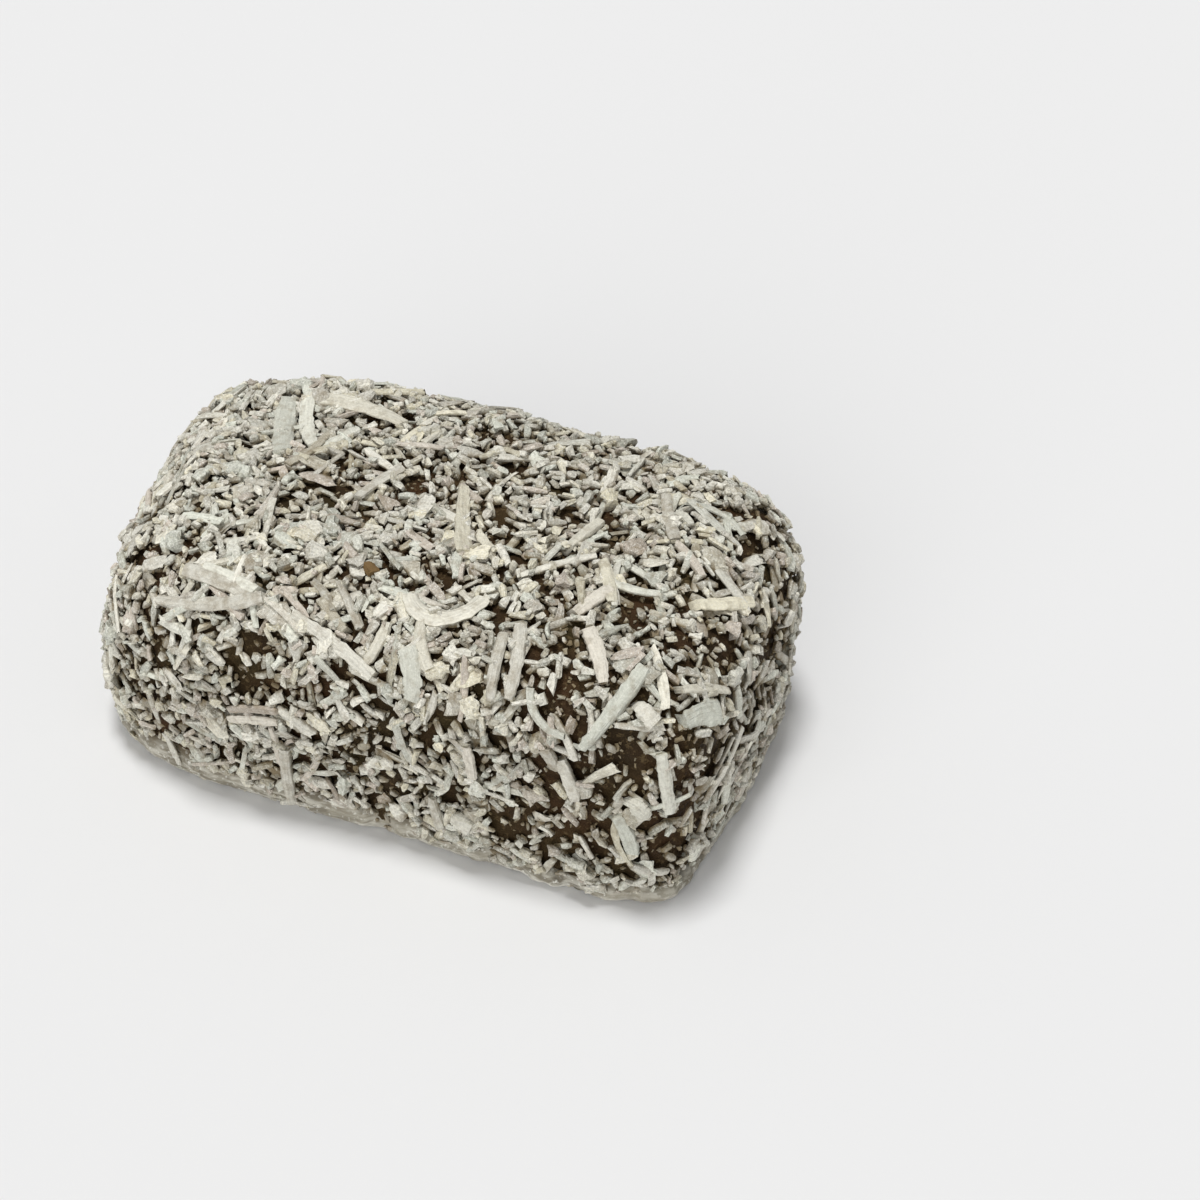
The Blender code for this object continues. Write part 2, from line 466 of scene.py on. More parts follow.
KINDS = {
    "coconut_dust": Kind(
        4000, (0.3, 0.65), (0.26, 0.5), (0.22, 0.42), 2, 4,
        tilt=0.6, roll=1.2, ragged=0.28, ends=0.85, stiff=1.0, shy=0.1, bow=0, curl=0, sharp=30,
    ),
    "coconut_grains": Kind(
        4600, (0.55, 1.3), (0.5, 1.0), (0.42, 0.85), 3, 5,
        tilt=0.6, roll=1.2, ragged=0.36, ends=0.85, stiff=1.0, shy=0.4, bow=0, curl=0, sharp=30,
    ),
    "coconut_crumbs": Kind(
        4180, (1.0, 2.3), (0.8, 1.5), (0.6, 1.15), 3, 6,
        tilt=0.5, roll=1.2, ragged=0.36, ends=0.82, stiff=1.0, shy=0.72, bow=0, curl=0, sharp=30,
    ),
    "coconut_chips": Kind(
        1750, (1.6, 4.0), (0.8, 1.5), (0.5, 0.95), 4, 7,
        tilt=0.3, roll=0.6, ragged=0.2, ends=0.85, power=3.2, bow=0.04, curl=0.02, twist=0.15,
        shy=0.85, sharp=35, taper=0.15, rightward=0.3,
    ),
    "coconut_shreds": Kind(
        480, (3.4, 8.5), (0.85, 1.6), (0.45, 0.8), 8, 9, mealy=0.6, rightward=0.3,
        tilt=0.13, roll=0.4, bow=0.035, curl=0.03, twist=0.25, ragged=0.15, ends=0.85, power=3.4,
        taper=0.15,
    ),
    "coconut_flakes": Kind(
        280, (2.4, 5.0), (1.5, 2.9), (0.4, 0.7), 7, 11, mealy=0.8,
        tilt=0.16, roll=0.3, bow=0.04, curl=0.05, twist=0.3, ragged=0.22, ends=0.78, prints=5,
        taper=0.2,
    ),
    "coconut_clumps": Kind(
        170, (1.8, 3.9), (1.6, 2.9), (1.1, 1.8), 8, 10,
        tilt=0.1, roll=0.2, bow=0.02, curl=0.0, twist=0.2, ragged=0.34, ends=0.6, prints=5,
        power=2.3, sharp=35,
    ),
    "coconut_threads": Kind(
        55, (7.5, 13.0), (0.9, 1.5), (0.45, 0.7), 12, 8, mealy=0.5,
        tilt=0.05, roll=0.3, bow=0.06, curl=0.04, twist=0.4, ragged=0.12, ends=0.8, stiff=0.3,
        taper=0.15,
    ),
}
LAYERS = 20  # the coat is laid in this many rounds of every kind
TRIES = 2  # places that each bit tries
SMALL_BIAS = 0.35  # where the commonest size lies between the smallest and the largest
FLOOR_GAP = 0.02 * MM  # vertices that would lie lower are raised to this height
ICING_DEPTH = 1.15 * MM  # the icing lies this far inside the mean outline
PILE_LIMIT = 2.5 * MM  # how high the coconut can pile on the icing
UNDER_LIMIT = 0.75 * MM  # how high it can pile under the cake, where its weight presses it flat
PILE_VOXEL = 0.4 * MM
SINK = 0.12 * MM  # how far a bit settles into what lies under it
HALF_STEPS = 4  # steps from a bit's middle back to its end
PRINT_SPACING = 0.45 * MM  # between the marks along a bit that it rests on
PRINT_REACH = 0.38  # how far to each side of its middle it rests, in widths
STEEPEST = 0.25  # how far one end can stand over the middle, in lengths
LEAST_HEIGHT = 0.12  # how low its middle can lie over the icing, in thicknesses
TOP_SHARE = 0.45  # how far its top stands over its middle, in thicknesses
PRESSED_LIMIT = 1.1 * MM  # how high it can pile on the wall right above the foot
PRESSED_BELOW = 7 * MM  # the coat is pressed flatter below this height


class Pile:
    """How high the coconut lies over the icing, voxel by voxel of the skin."""

    def __init__(self):
        self.skin = bar_skin()
        span = np.array(self.skin.shape) * VOXEL
        self.top_cell = np.ceil(span / PILE_VOXEL).astype(int) - 1
        self.height = np.zeros(self.top_cell + 1)

    def cells(self, places):
        cell = np.floor((places - self.skin.corner) / PILE_VOXEL).astype(int)
        return tuple(np.moveaxis(np.clip(cell, 0, self.top_cell), -1, 0))

    def read(self, places):
        return self.height[self.cells(places)]

    def add(self, places, tops):
        np.maximum.at(self.height, self.cells(places), tops)


def walk(skin, place, heading, step, turn, count):
    """Walk over the skin: step ahead, drop back onto it, and turn by an angle about its normal."""
    track = []
    for _ in range(count):
        place, normal = skin.settle(place)
        heading = level(heading, normal)
        track.append((place, normal, heading))
        side = np.cross(normal, heading)
        heading = heading * np.cos(turn) + side * np.sin(turn)
        place = place + heading * step
    return [np.stack(row, axis=1) for row in zip(*track)]


def limit_height(height, place, local):
    """Level heights off towards the limit as limit tanh(h / limit).

    The limit falls to PRESSED_LIMIT towards the foot of the wall, and to UNDER_LIMIT underneath.
    """
    free = np.clip(place[..., 2] / PRESSED_BELOW, 0, 1)
    below = np.clip(-2 * local[..., 2], 0, 1)
    limit = PRESSED_LIMIT + (PILE_LIMIT - PRESSED_LIMIT) * free
    limit = limit + (UNDER_LIMIT - limit) * below
    return limit * np.tanh(height / limit)


def ring_steps(rings):
    """Where the rings lie along a bit, from -1 to 1, closer together near its ends: sin(angle)."""
    return np.sin(np.linspace(-math.pi / 2, math.pi / 2, rings))


def lay(pile, rng, kind, base, heading, size, bend):
    """Lay bits on the pile and return their paths, normals and heights over the icing.

    A path walks over the skin through its base, turning by -8 bow / length in all. Its height is a
    straight line through the pile beneath its whole print, halfway between the mean and the
    highest, plus curl (s / half) ** 2 and a random tilt. A stiff bit stays part of the way towards
    the chord between its ends.

    Known fault: each ring takes the nearest mark, so where marks are few two end rings share one.
    They then have no direction, and their vertices end up at the origin. This happens in the
    clumps, in the listed bits and in most threads.
    """
    length, width, thickness = size
    bow, curl = bend
    skin = pile.skin
    count, rings = len(base), kind.rings
    half_turn = (-4 * bow / length)[:, None]
    pace = length[:, None] / 2 / HALF_STEPS
    back = walk(skin, base, -heading, pace, -half_turn / HALF_STEPS, HALF_STEPS + 1)
    start, start_heading = back[0][:, -1], -back[2][:, -1]
    marks = max(3, int(length.max() / PRINT_SPACING))
    pace = (length / (marks - 1))[:, None]
    track, normals, ahead = walk(skin, start, start_heading, pace, 2 * half_turn / (marks - 1), marks)
    beside = np.cross(normals, ahead)[:, :, None]
    sideways = np.linspace(-PRINT_REACH, PRINT_REACH, kind.prints)[:, None] * width[:, None, None, None]
    print_places = track[:, :, None] + beside * sideways
    mark_step = np.linspace(-1, 1, marks)
    support = pile.read(print_places)
    profile = support.mean(axis=2)
    slope = (profile * mark_step).mean(axis=1) / (mark_step**2).mean()
    limit = STEEPEST * length
    slope = np.clip(slope + rng.normal(0, kind.tilt, count) * length / 2, -limit, limit)
    over = (support - slope[:, None, None] * mark_step[:, None]).max(axis=(1, 2))
    middle = 0.5 * profile.mean(axis=1) + 0.5 * over

    def heights(step, place, local):
        height = middle[:, None] + slope[:, None] * step + curl[:, None] * (step**2 - 0.3)
        height = np.maximum(height + thickness[:, None] / 2 - SINK, LEAST_HEIGHT * thickness[:, None])
        return limit_height(height, place, local)

    pick = np.round((ring_steps(rings) + 1) / 2 * (marks - 1)).astype(int)
    place, local, step = track[:, pick], normals[:, pick], mark_step[pick]
    height = heights(step, place, local)
    path = place + local * (height - ICING_DEPTH)[..., None]
    chord = path[:, :1] + (path[:, -1:] - path[:, :1]) * ((step + 1) / 2)[:, None]
    sag = ((path - chord) * local).sum(axis=-1)
    lifted = np.clip(sag.max(axis=1, keepdims=True) - sag, 0, None) * kind.stiff
    tops = heights(mark_step, track, normals) + thickness[:, None] * TOP_SHARE
    pile.add(print_places, np.broadcast_to(tops[..., None], support.shape))
    return path + local * lifted[..., None], local, height + lifted


def random_bits(pile, rng, kind, count):
    """Random bits of one kind; each tries a few places and stays where the coat is thinnest."""
    skin = pile.skin
    length, width, thickness = (
        rng.triangular(low, low + (high - low) * SMALL_BIAS, high, count) * MM
        for low, high in (kind.length, kind.width, kind.thickness)
    )
    base, normal = skin.settle(skin.scatter(rng, count * TRIES, kind))
    thinnest = pile.read(base).reshape(TRIES, count).argmin(axis=0)
    chosen = thinnest * count + np.arange(count)
    base, normal = base[chosen], normal[chosen]
    heading = level(rng.normal(size=(count, 3)), normal)
    bend = (rng.normal(0, kind.bow, count) * length, rng.normal(0, kind.curl, count) * length)
    path, local, height = lay(pile, rng, kind, base, heading, (length, width, thickness), bend)
    return shape_bits(rng, kind, path, local, height, width, thickness)


def shape_bits(rng, kind, path, local, height, width, thickness):
    """Give laid paths their profile: vertices, UVs, height over the icing, crest and tint for each.

    The crest is how high a vertex is over its own bit's middle, in half thicknesses.
    """
    count, rings = height.shape
    step = ring_steps(rings)
    narrowing = 1 - (1 - kind.ends) * np.abs(step) ** 4
    uneven = 1 + kind.ragged * rng.uniform(-1, 1, (count, rings))
    uneven = uneven + rng.normal(0, kind.taper, (count, 1)) * step
    widths = width[:, None] * narrowing * uneven
    worn = 1 + 0.5 * kind.ragged * rng.uniform(-1, 1, (count, rings))
    thicknesses = thickness[:, None] * narrowing * worn
    roll = rng.normal(0, kind.roll, (count, 1)) + rng.normal(0, kind.twist, (count, 1)) * step
    vertices, uvs = carry(
        path, local, widths, thicknesses, roll, kind.sides, kind.power, rng, kind.ragged, kind.square_cut
    )
    over = ((vertices - path[:, :, None]) * local[:, :, None]).sum(axis=-1)
    crest = over / (thicknesses[..., None] / 2)
    lift = over + height[..., None]
    tint = np.broadcast_to(rng.random((count, 1, 1)), lift.shape)
    vertices[..., 2] = np.maximum(vertices[..., 2], FLOOR_GAP)
    return vertices, uvs, lift, crest, tint


# Bits laid one by one: place x, y, z (mm), heading (degrees from the bar's length towards
# its top or back), length, width, thickness, sideways bow and curl away from the cake (all mm), tint.
PICKED = (
    (-21.5, -24, 37, -9, 13.5, 2.1, 0.8, 0.3, 0.3, 0.3),
    (-21, -23, 37.5, -12, 9.0, 1.5, 0.8, 0.2, 0.5, 0.6),
    (-23, -26.5, 34.5, 12, 16.5, 1.8, 1.0, -0.8, 0.3, 0.3),
    (-28, 9, 38, -70, 14.0, 3.0, 0.6, -0.4, 0.6, 0.66),
    (-25.5, 11, 38, -64, 13.0, 2.2, 0.6, -0.9, 0.7, 0.6),
    (-19, 17, 39, -6, 16.0, 2.4, 0.7, 1.2, 0.3, 0.2),
    (-21, 4, 40, -100, 10.0, 1.5, 0.7, 0.7, 0.4, 0.15),
    (9, -22.3, 37, 13, 13.5, 2.8, 0.8, -4.4, 0.5, 0.25),
    (5, -3, 40, -68, 14.0, 2.2, 0.9, -0.2, 0.4, 0.1),
    (22, 0, 40, 77, 8.0, 1.6, 0.9, 0.2, 0.4, 0.2),
    (32, 7, 39, -65, 11.0, 1.8, 0.8, -0.2, 0.5, 0.35),
    (29, -9, 40, -61, 8.0, 1.7, 0.9, 0.2, 0.3, 0.1),
    (28, -13, 40, 63, 6.5, 2.0, 0.9, 0.1, 0.3, 0.9),
    (32, -22, 39, -57, 8.5, 2.0, 1.0, 0.3, 0.2, 0.9),
    (36.4, -27.5, 34.8, -115, 13.0, 2.0, 1.1, 0.3, 0.3, 0.7),
    (26, -30, 32, -44, 8.5, 1.2, 0.7, -1.6, 0.2, 0.66),
    (44, -4, 36, 46, 9.5, 2.0, 0.8, -0.3, 0.3, 0.05),
    (46, -18.5, 34, 44, 9.0, 1.3, 0.7, 0.2, 0.3, 0.2),
    (-12, -30, 8.4, -93, 13.0, 1.7, 1.2, -0.2, 0.3, 0.3),
    (-16, -30, 21, 20, 8.5, 1.3, 0.8, 0.3, 0.2, 0.95),
    (-16, -30, 19, 19, 8.5, 1.4, 0.8, 0.2, 0.1, 0.9),
    (22, -25, 37, -82, 10.0, 1.8, 0.9, 0.5, 0.3, 0.3),
    (44, -28.4, 24.6, -84, 11.0, 1.8, 1.1, 0.1, 0.1, 0.6),
    (-4, -27, 34, -24, 14.0, 1.9, 0.8, 0.3, 0.3, 0.4),
    (47, -22, 33, 40, 6.5, 3.3, 1.0, 0.4, 0.2, 0.7),
    (31, -31, 23, -67, 6.5, 1.7, 1.1, 0.1, 0.1, 0.45),
    (28.5, -31, 26, -75, 4.5, 1.9, 1.1, 0.2, 0.0, 0.35),
    (2, -26, 35, -101, 6.0, 1.6, 0.8, 0.3, 0.2, 0.2),
    (-5, -25, 37, 144, 5.0, 1.5, 0.8, 0.0, 0.2, 0.15),
    (-9, 0, 40, 67, 9.0, 1.6, 0.7, 0.4, 0.4, 0.3),
    (8, -28, 33, -72, 7.0, 2.8, 0.8, 0.8, 0.3, 0.65),
    (8, -25, 35, -60, 7.0, 1.8, 0.8, -0.5, 0.4, 0.2),
    (39.4, -30.5, 15, -75, 7.5, 2.0, 1.0, 0.3, 0.1, 0.7),
    (19, -26, 36, -85, 9.0, 1.8, 0.9, -0.2, 0.3, 0.3),
    (17, -31, 22, -80, 5.5, 1.7, 0.9, 0.2, 0.0, 0.9),
    (11, -30.5, 9.5, -84, 6.5, 1.5, 0.9, -0.1, 0.0, 0.3),
    (41, -29.5, 20.5, -54, 2.4, 2.3, 2.0, 0.0, 0.0, 0.85),
    (40.6, -26.4, 34.5, -33, 3.0, 2.4, 1.6, 0.0, 0.0, 0.4),
    (15.2, -30.5, 9.5, -19, 3.0, 2.6, 1.9, 0.0, 0.0, 0.55),
    (-3, -16.6, 38.7, -40, 2.3, 1.7, 1.3, 0.0, 0.0, 2.0),
)
PICKED_SHAPE = Kind(
    len(PICKED), None, None, None, 22, 12,
    tilt=0.02, roll=0.12, twist=0.15, ragged=0.11, ends=0.8, stiff=0.3, power=3.6, prints=5, sharp=45,
    taper=0.12, mealy=0.4,
)


def picked_bits(pile, rng):
    """The listed bits, each headed by an angle from the bar's length in the skin's plane."""
    rows = np.array(PICKED, dtype=float)
    base, normal = pile.skin.settle(rows[:, :3] * MM)
    ahead = level(np.array([1.0, 0.0, 0.0]), normal)
    beside = np.cross(normal, ahead)
    angle = np.radians(rows[:, 3:4])
    heading = ahead * np.cos(angle) + beside * np.sin(angle)
    length, width, thickness, bow, curl = (rows[:, 4:9] * MM).T
    size = (length, width, thickness)
    path, local, height = lay(pile, rng, PICKED_SHAPE, base, heading, size, (bow, curl))
    shaped = shape_bits(rng, PICKED_SHAPE, path, local, height, width, thickness)
    tint = np.broadcast_to(rows[:, 9, None, None], height.shape + (PICKED_SHAPE.sides,))
    return *shaped[:-1], tint


@lru_cache(maxsize=4)
def coat(seed, plenty):
    """Every bit of coconut, kind by kind, laid in layers so that later bits rest on earlier ones."""
    rng = np.random.default_rng(seed)
    pile = Pile()
    laid = {name: [] for name in KINDS}
    for _ in range(LAYERS):
        for name, kind in KINDS.items():
            count = int(kind.count * plenty / LAYERS)
            laid[name].append(random_bits(pile, rng, kind, count))
    bits = {name: [np.concatenate(part) for part in zip(*rows)] for name, rows in laid.items()}
    bits["coconut_picked"] = list(picked_bits(pile, rng))
    return bits


# --- Meshes ----------------------------------------------------------------------------------------


def new_mesh(name, vertices, loops, sizes):
    """Mesh from flat arrays: vertices (n, 3), the corners' vertex numbers and each face's size."""
    mesh = bpy.data.meshes.new(name)
    mesh.vertices.add(len(vertices))
    mesh.vertices.foreach_set("co", np.ascontiguousarray(vertices, dtype=np.float32).ravel())
    mesh.loops.add(len(loops))
    mesh.loops.foreach_set("vertex_index", loops.astype(np.int32))
    mesh.polygons.add(len(sizes))
    starts = np.concatenate([[0], np.cumsum(sizes)[:-1]]).astype(np.int32)
    mesh.polygons.foreach_set("loop_start", starts)
    mesh.update(calc_edges=True)
    mesh.validate()
    mesh.shade_smooth()
    return mesh


def add_values(mesh, name, values):
    attribute = mesh.attributes.new(name, "FLOAT", "POINT")
    attribute.data.foreach_set("value", np.ascontiguousarray(values, dtype=np.float32).ravel())


def add_uvs(mesh, uvs):
    """UV map from one pair for each vertex."""
    layer = mesh.uv_layers.new(name="fibre")
    corner = np.empty(len(mesh.loops), dtype=np.int32)
    mesh.loops.foreach_get("vertex_index", corner)
    layer.data.foreach_set("uv", uvs.reshape(-1, 2)[corner].astype(np.float32).ravel())


def finish_piece(name, mesh, material):
    """Replace any earlier piece of that name, and tie the new one to the frame."""
    old = bpy.data.objects.get(name)
    if old is not None:
        bpy.data.objects.remove(old, do_unlink=True)
    piece = bpy.data.objects.new(name, mesh)
    mesh.materials.append(material)
    bpy.context.scene.collection.objects.link(piece)
    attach(piece, "root")
    return piece


def closed_rings(rings):
    """Faces of a closed skin of rings whose first and last shrink to a pole; poles are one vertex."""
    count, around = rings.shape[:2]
    body = rings[1:-1].reshape(-1, 3)
    vertices = np.concatenate([body, rings[:1, 0], rings[-1:, 0]])
    ring, place = np.meshgrid(np.arange(count - 3), np.arange(around), indexing="ij")
    here, beside = ring * around + place, ring * around + (place + 1) % around
    quads = np.stack([here, beside, beside + around, here + around], axis=-1).reshape(-1)
    first, second = np.arange(around), (np.arange(around) + 1) % around
    bottom, top = len(body), len(body) + 1
    upper = (count - 3) * around
    under = np.stack([second, first, np.full(around, bottom)], axis=-1).reshape(-1)
    over = np.stack([first + upper, second + upper, np.full(around, top)], axis=-1).reshape(-1)
    loops = np.concatenate([quads, under, over])
    sizes = np.concatenate([np.full((count - 3) * around, 4), np.full(2 * around, 3)])
    return vertices, loops, sizes


# --- Materials -------------------------------------------------------------------------------------


class Recipe:
    """A material's nodes, added one by one and joined by name."""

    def __init__(self, name):
        old = bpy.data.materials.get(name)
        if old is not None:
            bpy.data.materials.remove(old)
        self.material = bpy.data.materials.new(name)
        self.material.use_nodes = True
        self.tree = self.material.node_tree
        self.surface = self.tree.nodes["Principled BSDF"]

    def node(self, kind, inputs=None, **settings):
        made = self.tree.nodes.new(kind)
        for key, value in settings.items():
            setattr(made, key, value)
        for key, value in (inputs or {}).items():
            self.feed(made, key, value)
        return made

    def feed(self, node, key, value):
        """Set a socket to a number or colour, or link it when the value is another socket."""
        if isinstance(value, bpy.types.NodeSocket):
            self.tree.links.new(value, node.inputs[key])
        else:
            node.inputs[key].default_value = value

    def attribute(self, name):
        return self.node("ShaderNodeAttribute", attribute_name=name).outputs["Fac"]

    def place(self):
        return self.node("ShaderNodeTexCoord").outputs["Object"]

    def noise(self, place, scale, detail=3.0, roughness=0.55):
        values = {"Vector": place, "Scale": scale, "Detail": detail, "Roughness": roughness}
        return self.node("ShaderNodeTexNoise", values).outputs["Fac"]

    def spread(self, value, low, high, to_low=0.0, to_high=1.0):
        """Map low..high to to_low..to_high, held at the ends."""
        values = {"Value": value, "From Min": low, "From Max": high}
        values.update({"To Min": to_low, "To Max": to_high})
        return self.node("ShaderNodeMapRange", values).outputs["Result"]

    def blend(self, share, first, second):
        made = self.node("ShaderNodeMix", data_type="RGBA")
        self.feed(made, 0, share)
        self.feed(made, 6, first)
        self.feed(made, 7, second)
        return made.outputs[2]

    def sum(self, first, second, share=1.0):
        """first + second * share."""
        values = {0: second, 1: share, 2: first}
        return self.node("ShaderNodeMath", values, operation="MULTIPLY_ADD").outputs[0]

    def times(self, first, second):
        return self.node("ShaderNodeMath", {0: first, 1: second}, operation="MULTIPLY").outputs[0]

    def bump(self, height, strength, distance):
        values = {"Height": height, "Strength": strength, "Distance": distance}
        self.feed(self.surface, "Normal", self.node("ShaderNodeBump", values).outputs["Normal"])

    def set(self, **values):
        for key, value in values.items():
            self.feed(self.surface, key.replace("_", " "), value)


def colour(value):
    return (*value, 1.0)


def coconut_material(name, settings, mealy):
    """Dry coconut flesh: each bit its own off-white, mealy, streaked along its fibres and stained.

    The tint attribute picks cream, white, cool or rosy, and above 1 the brown rind. The lift
    attribute, the height over the icing, clears the brown staining, which also serves as painted
    shade deep in the pile. The duller bits are stained most, and the underside of each, where its
    crest is low, is stained and given painted shade.
    mealy scales the bright and dull specks of a broken surface.
    """
    recipe = Recipe(name)
    tint = recipe.attribute("tint")
    lift = recipe.attribute("lift")
    crest = recipe.attribute("crest")
    place = recipe.place()
    fibre = recipe.node("ShaderNodeUVMap", uv_map="fibre").outputs["UV"]
    along = recipe.node("ShaderNodeMapping", {"Vector": fibre, "Scale": (300, 2800, 1)}).outputs[0]
    streaks = recipe.noise(along, 1.0, 3.0)
    patches = recipe.noise(place, 800.0, 2.0)
    grain = recipe.noise(place, 2500.0, 2.0)
    meal = recipe.noise(place, 4200.0, 1.0)
    chance = recipe.node("ShaderNodeTexWhiteNoise", {"W": tint}, noise_dimensions="1D").outputs["Value"]
    flesh = recipe.blend(
        recipe.spread(tint, 0.0, 0.3), colour(settings.cream_colour), colour(settings.white_colour)
    )
    flesh = recipe.blend(recipe.spread(tint, 0.5, 0.7), flesh, colour(settings.cool_colour))
    flesh = recipe.blend(recipe.spread(tint, 0.8, 0.95), flesh, colour(settings.rosy_colour))
    shade = recipe.times(recipe.spread(streaks, 0.3, 0.7, 0.86, 1.08), recipe.spread(chance, 0, 1, 0.69, 1.1))
    shade = recipe.times(shade, recipe.spread(grain, 0.34, 0.66, 1 - 0.26 * mealy, 1 + 0.12 * mealy))
    # Painted shade and staining: each bit's underside, where its crest is low, is darkened and browned.
    underside_shade_and_stain = recipe.spread(crest, -0.4, 0.4, 1.0, 0.0)
    shade = recipe.times(shade, recipe.spread(underside_shade_and_stain, 0, 1, 1.0, 0.65))
    flesh = recipe.node("ShaderNodeVectorMath", {0: flesh, 3: shade}, operation="SCALE").outputs[0]
    flesh = recipe.blend(recipe.spread(meal, 0.54, 0.7, 0, 0.8 * mealy), flesh, colour(settings.meal_colour))
    dull = recipe.spread(chance, 0, 0.3, 0.4, 0)
    # Staining and painted shade: bits lying low over the icing are browned by it, and the browning also
    # darkens the deep layers of the pile.
    low_stain_and_shade, patchy = recipe.spread(lift, 0.2, 1.4, 0.95, 0.0), recipe.spread(patches, 0.3, 0.7, -0.35, 0.35)
    stain_and_shade = recipe.sum(low_stain_and_shade, patchy)
    stain_and_shade = recipe.spread(recipe.sum(recipe.sum(stain_and_shade, dull), underside_shade_and_stain, 0.35), 0.0, 1.0, 0.0, 0.88)
    flesh = recipe.blend(stain_and_shade, flesh, colour(settings.stain_and_shade_colour))
    flesh = recipe.blend(recipe.spread(tint, 1.2, 1.4), flesh, colour(settings.rind_colour))
    recipe.set(Base_Color=flesh)
    recipe.set(Roughness=0.65)
    recipe.surface.inputs["Specular IOR Level"].default_value = 0.25
    recipe.bump(recipe.sum(recipe.sum(streaks, patches, 0.5), grain, mealy), 0.9, 0.0003)
    return recipe.material


def icing_material(settings):
    """Thin chocolate icing that has soaked in: uneven dark brown, reddish and olive where it is thin."""
    recipe = Recipe("chocolate_icing")
    place = recipe.place()
    broad = recipe.noise(place, 150.0, 3.0)
    hue = recipe.noise(place, 75.0, 2.0)
    fine = recipe.noise(place, 1100.0, 3.0)
    crumbs = recipe.noise(place, 3200.0, 2.0)
    thin = recipe.blend(
        recipe.spread(hue, 0.46, 0.62), colour(settings.red_colour), colour(settings.olive_colour)
    )
    brown = recipe.blend(recipe.spread(broad, 0.36, 0.64), colour(settings.dark_colour), thin)
    crumb = recipe.spread(recipe.sum(fine, crumbs, 0.5), 0.8, 0.98, 0, 0.7)
    recipe.set(Base_Color=recipe.blend(crumb, brown, colour(settings.crumb_colour)))
    recipe.set(Roughness=recipe.spread(fine, 0.35, 0.65, 0.4, 0.7))
    recipe.surface.inputs["Specular IOR Level"].default_value = 0.06
    recipe.bump(recipe.sum(fine, crumbs, 0.5), 1.0, 0.0007)
    return recipe.material


def foot_material(settings):
    """Coconut pressed smooth under the bar: greyish cream, streaked along the foot, browner higher up.

    The share attribute is the height as a share of the foot's own.
    """
    recipe = Recipe("pressed_coconut")
    share = recipe.attribute("share")
    place = recipe.place()
    level = recipe.node("ShaderNodeMapping", {"Vector": place, "Scale": (1, 1, 4)}).outputs[0]
    streaks = recipe.noise(level, 330.0, 4.0, 0.6)
    patches = recipe.noise(place, 140.0, 2.0)
    specks = recipe.noise(place, 1300.0, 2.0)
    wet = recipe.sum(recipe.spread(streaks, 0.34, 0.66), recipe.spread(patches, 0.4, 0.6, -0.35, 0.35))
    pale = recipe.blend(wet, colour(settings.shade_colour), colour(settings.pale_colour))
    pale = recipe.blend(recipe.spread(specks, 0.58, 0.7), pale, colour(settings.speck_colour))
    lip = recipe.sum(recipe.spread(share, 0.2, 0.42, 0.55, 0.0), recipe.spread(streaks, 0.4, 0.6, -0.4, 0.3))
    pale = recipe.blend(recipe.spread(lip, 0, 1), pale, colour(settings.speck_colour))
    top = recipe.sum(recipe.spread(share, 0.7, 1.15), recipe.spread(patches, 0.35, 0.65, -0.35, 0.35))
    recipe.set(Base_Color=recipe.blend(recipe.spread(top, 0, 1), pale, colour(settings.brown_colour)))
    recipe.set(Roughness=recipe.spread(streaks, 0.3, 0.7, 0.5, 0.75))
    recipe.surface.inputs["Specular IOR Level"].default_value = 0.2
    recipe.bump(recipe.sum(streaks, specks, 0.5), 0.6, 0.0005)
    return recipe.material


# --- Settings --------------------------------------------------------------------------------------


def colour_property(name, description, default):
    return bpy.props.FloatVectorProperty(
        name=name, description=description, default=default, subtype="COLOR", min=0, max=1
    )


def length_property(name, description, default):
    return bpy.props.FloatProperty(name=name, description=description, default=default, unit="LENGTH")


def angle_property(name, description, degrees):
    return bpy.props.FloatProperty(
        name=name, description=description, default=math.radians(degrees), subtype="ANGLE"
    )


def number_property(name, description, default):
    return bpy.props.FloatProperty(name=name, description=description, default=default)


class IcingSettings(bpy.types.PropertyGroup):
    depth: length_property("Depth", "How far the icing lies inside the coat's mean outline", ICING_DEPTH)
    roughness: length_property("Lumps", "Height of the icing's small lumps", 0.5 * MM)
    dark_colour: colour_property("Dark", "Chocolate where it lies thick", (0.040, 0.027, 0.014))
    red_colour: colour_property("Red", "Chocolate where it lies thin", (0.070, 0.036, 0.017))
    olive_colour: colour_property("Olive", "Chocolate that soaked into coconut", (0.055, 0.040, 0.017))
    crumb_colour: colour_property("Crumb", "Coconut dust in the icing", (0.17, 0.12, 0.06))


class CoatSettings(bpy.types.PropertyGroup):
    seed: bpy.props.IntProperty(
        name="Seed", description="Which random heap of coconut is laid", default=5, min=0
    )
    plenty: bpy.props.FloatProperty(
        name="Plenty", description="Share of the full count of bits that is laid",
        default=1.0, min=0.1, max=1.0,
    )
    cream_colour: colour_property("Cream", "The warmest bits", (0.84, 0.785, 0.60))
    white_colour: colour_property("White", "Most bits", (0.87, 0.84, 0.73))
    cool_colour: colour_property("Cool", "Bits with a greenish cast", (0.755, 0.765, 0.66))
    rosy_colour: colour_property("Rosy", "Bits with a trace of their brown rind", (0.70, 0.625, 0.53))
    # Brown of flesh wetted by the icing, also used as painted shade under each bit and deep in the pile.
    stain_and_shade_colour: colour_property("Stain", "Flesh wetted by the icing", (0.21, 0.15, 0.068))
    meal_colour: colour_property("Meal", "Driest, brightest specks", (0.92, 0.905, 0.835))
    rind_colour: colour_property("Rind", "A rare speck of brown rind", (0.20, 0.125, 0.05))


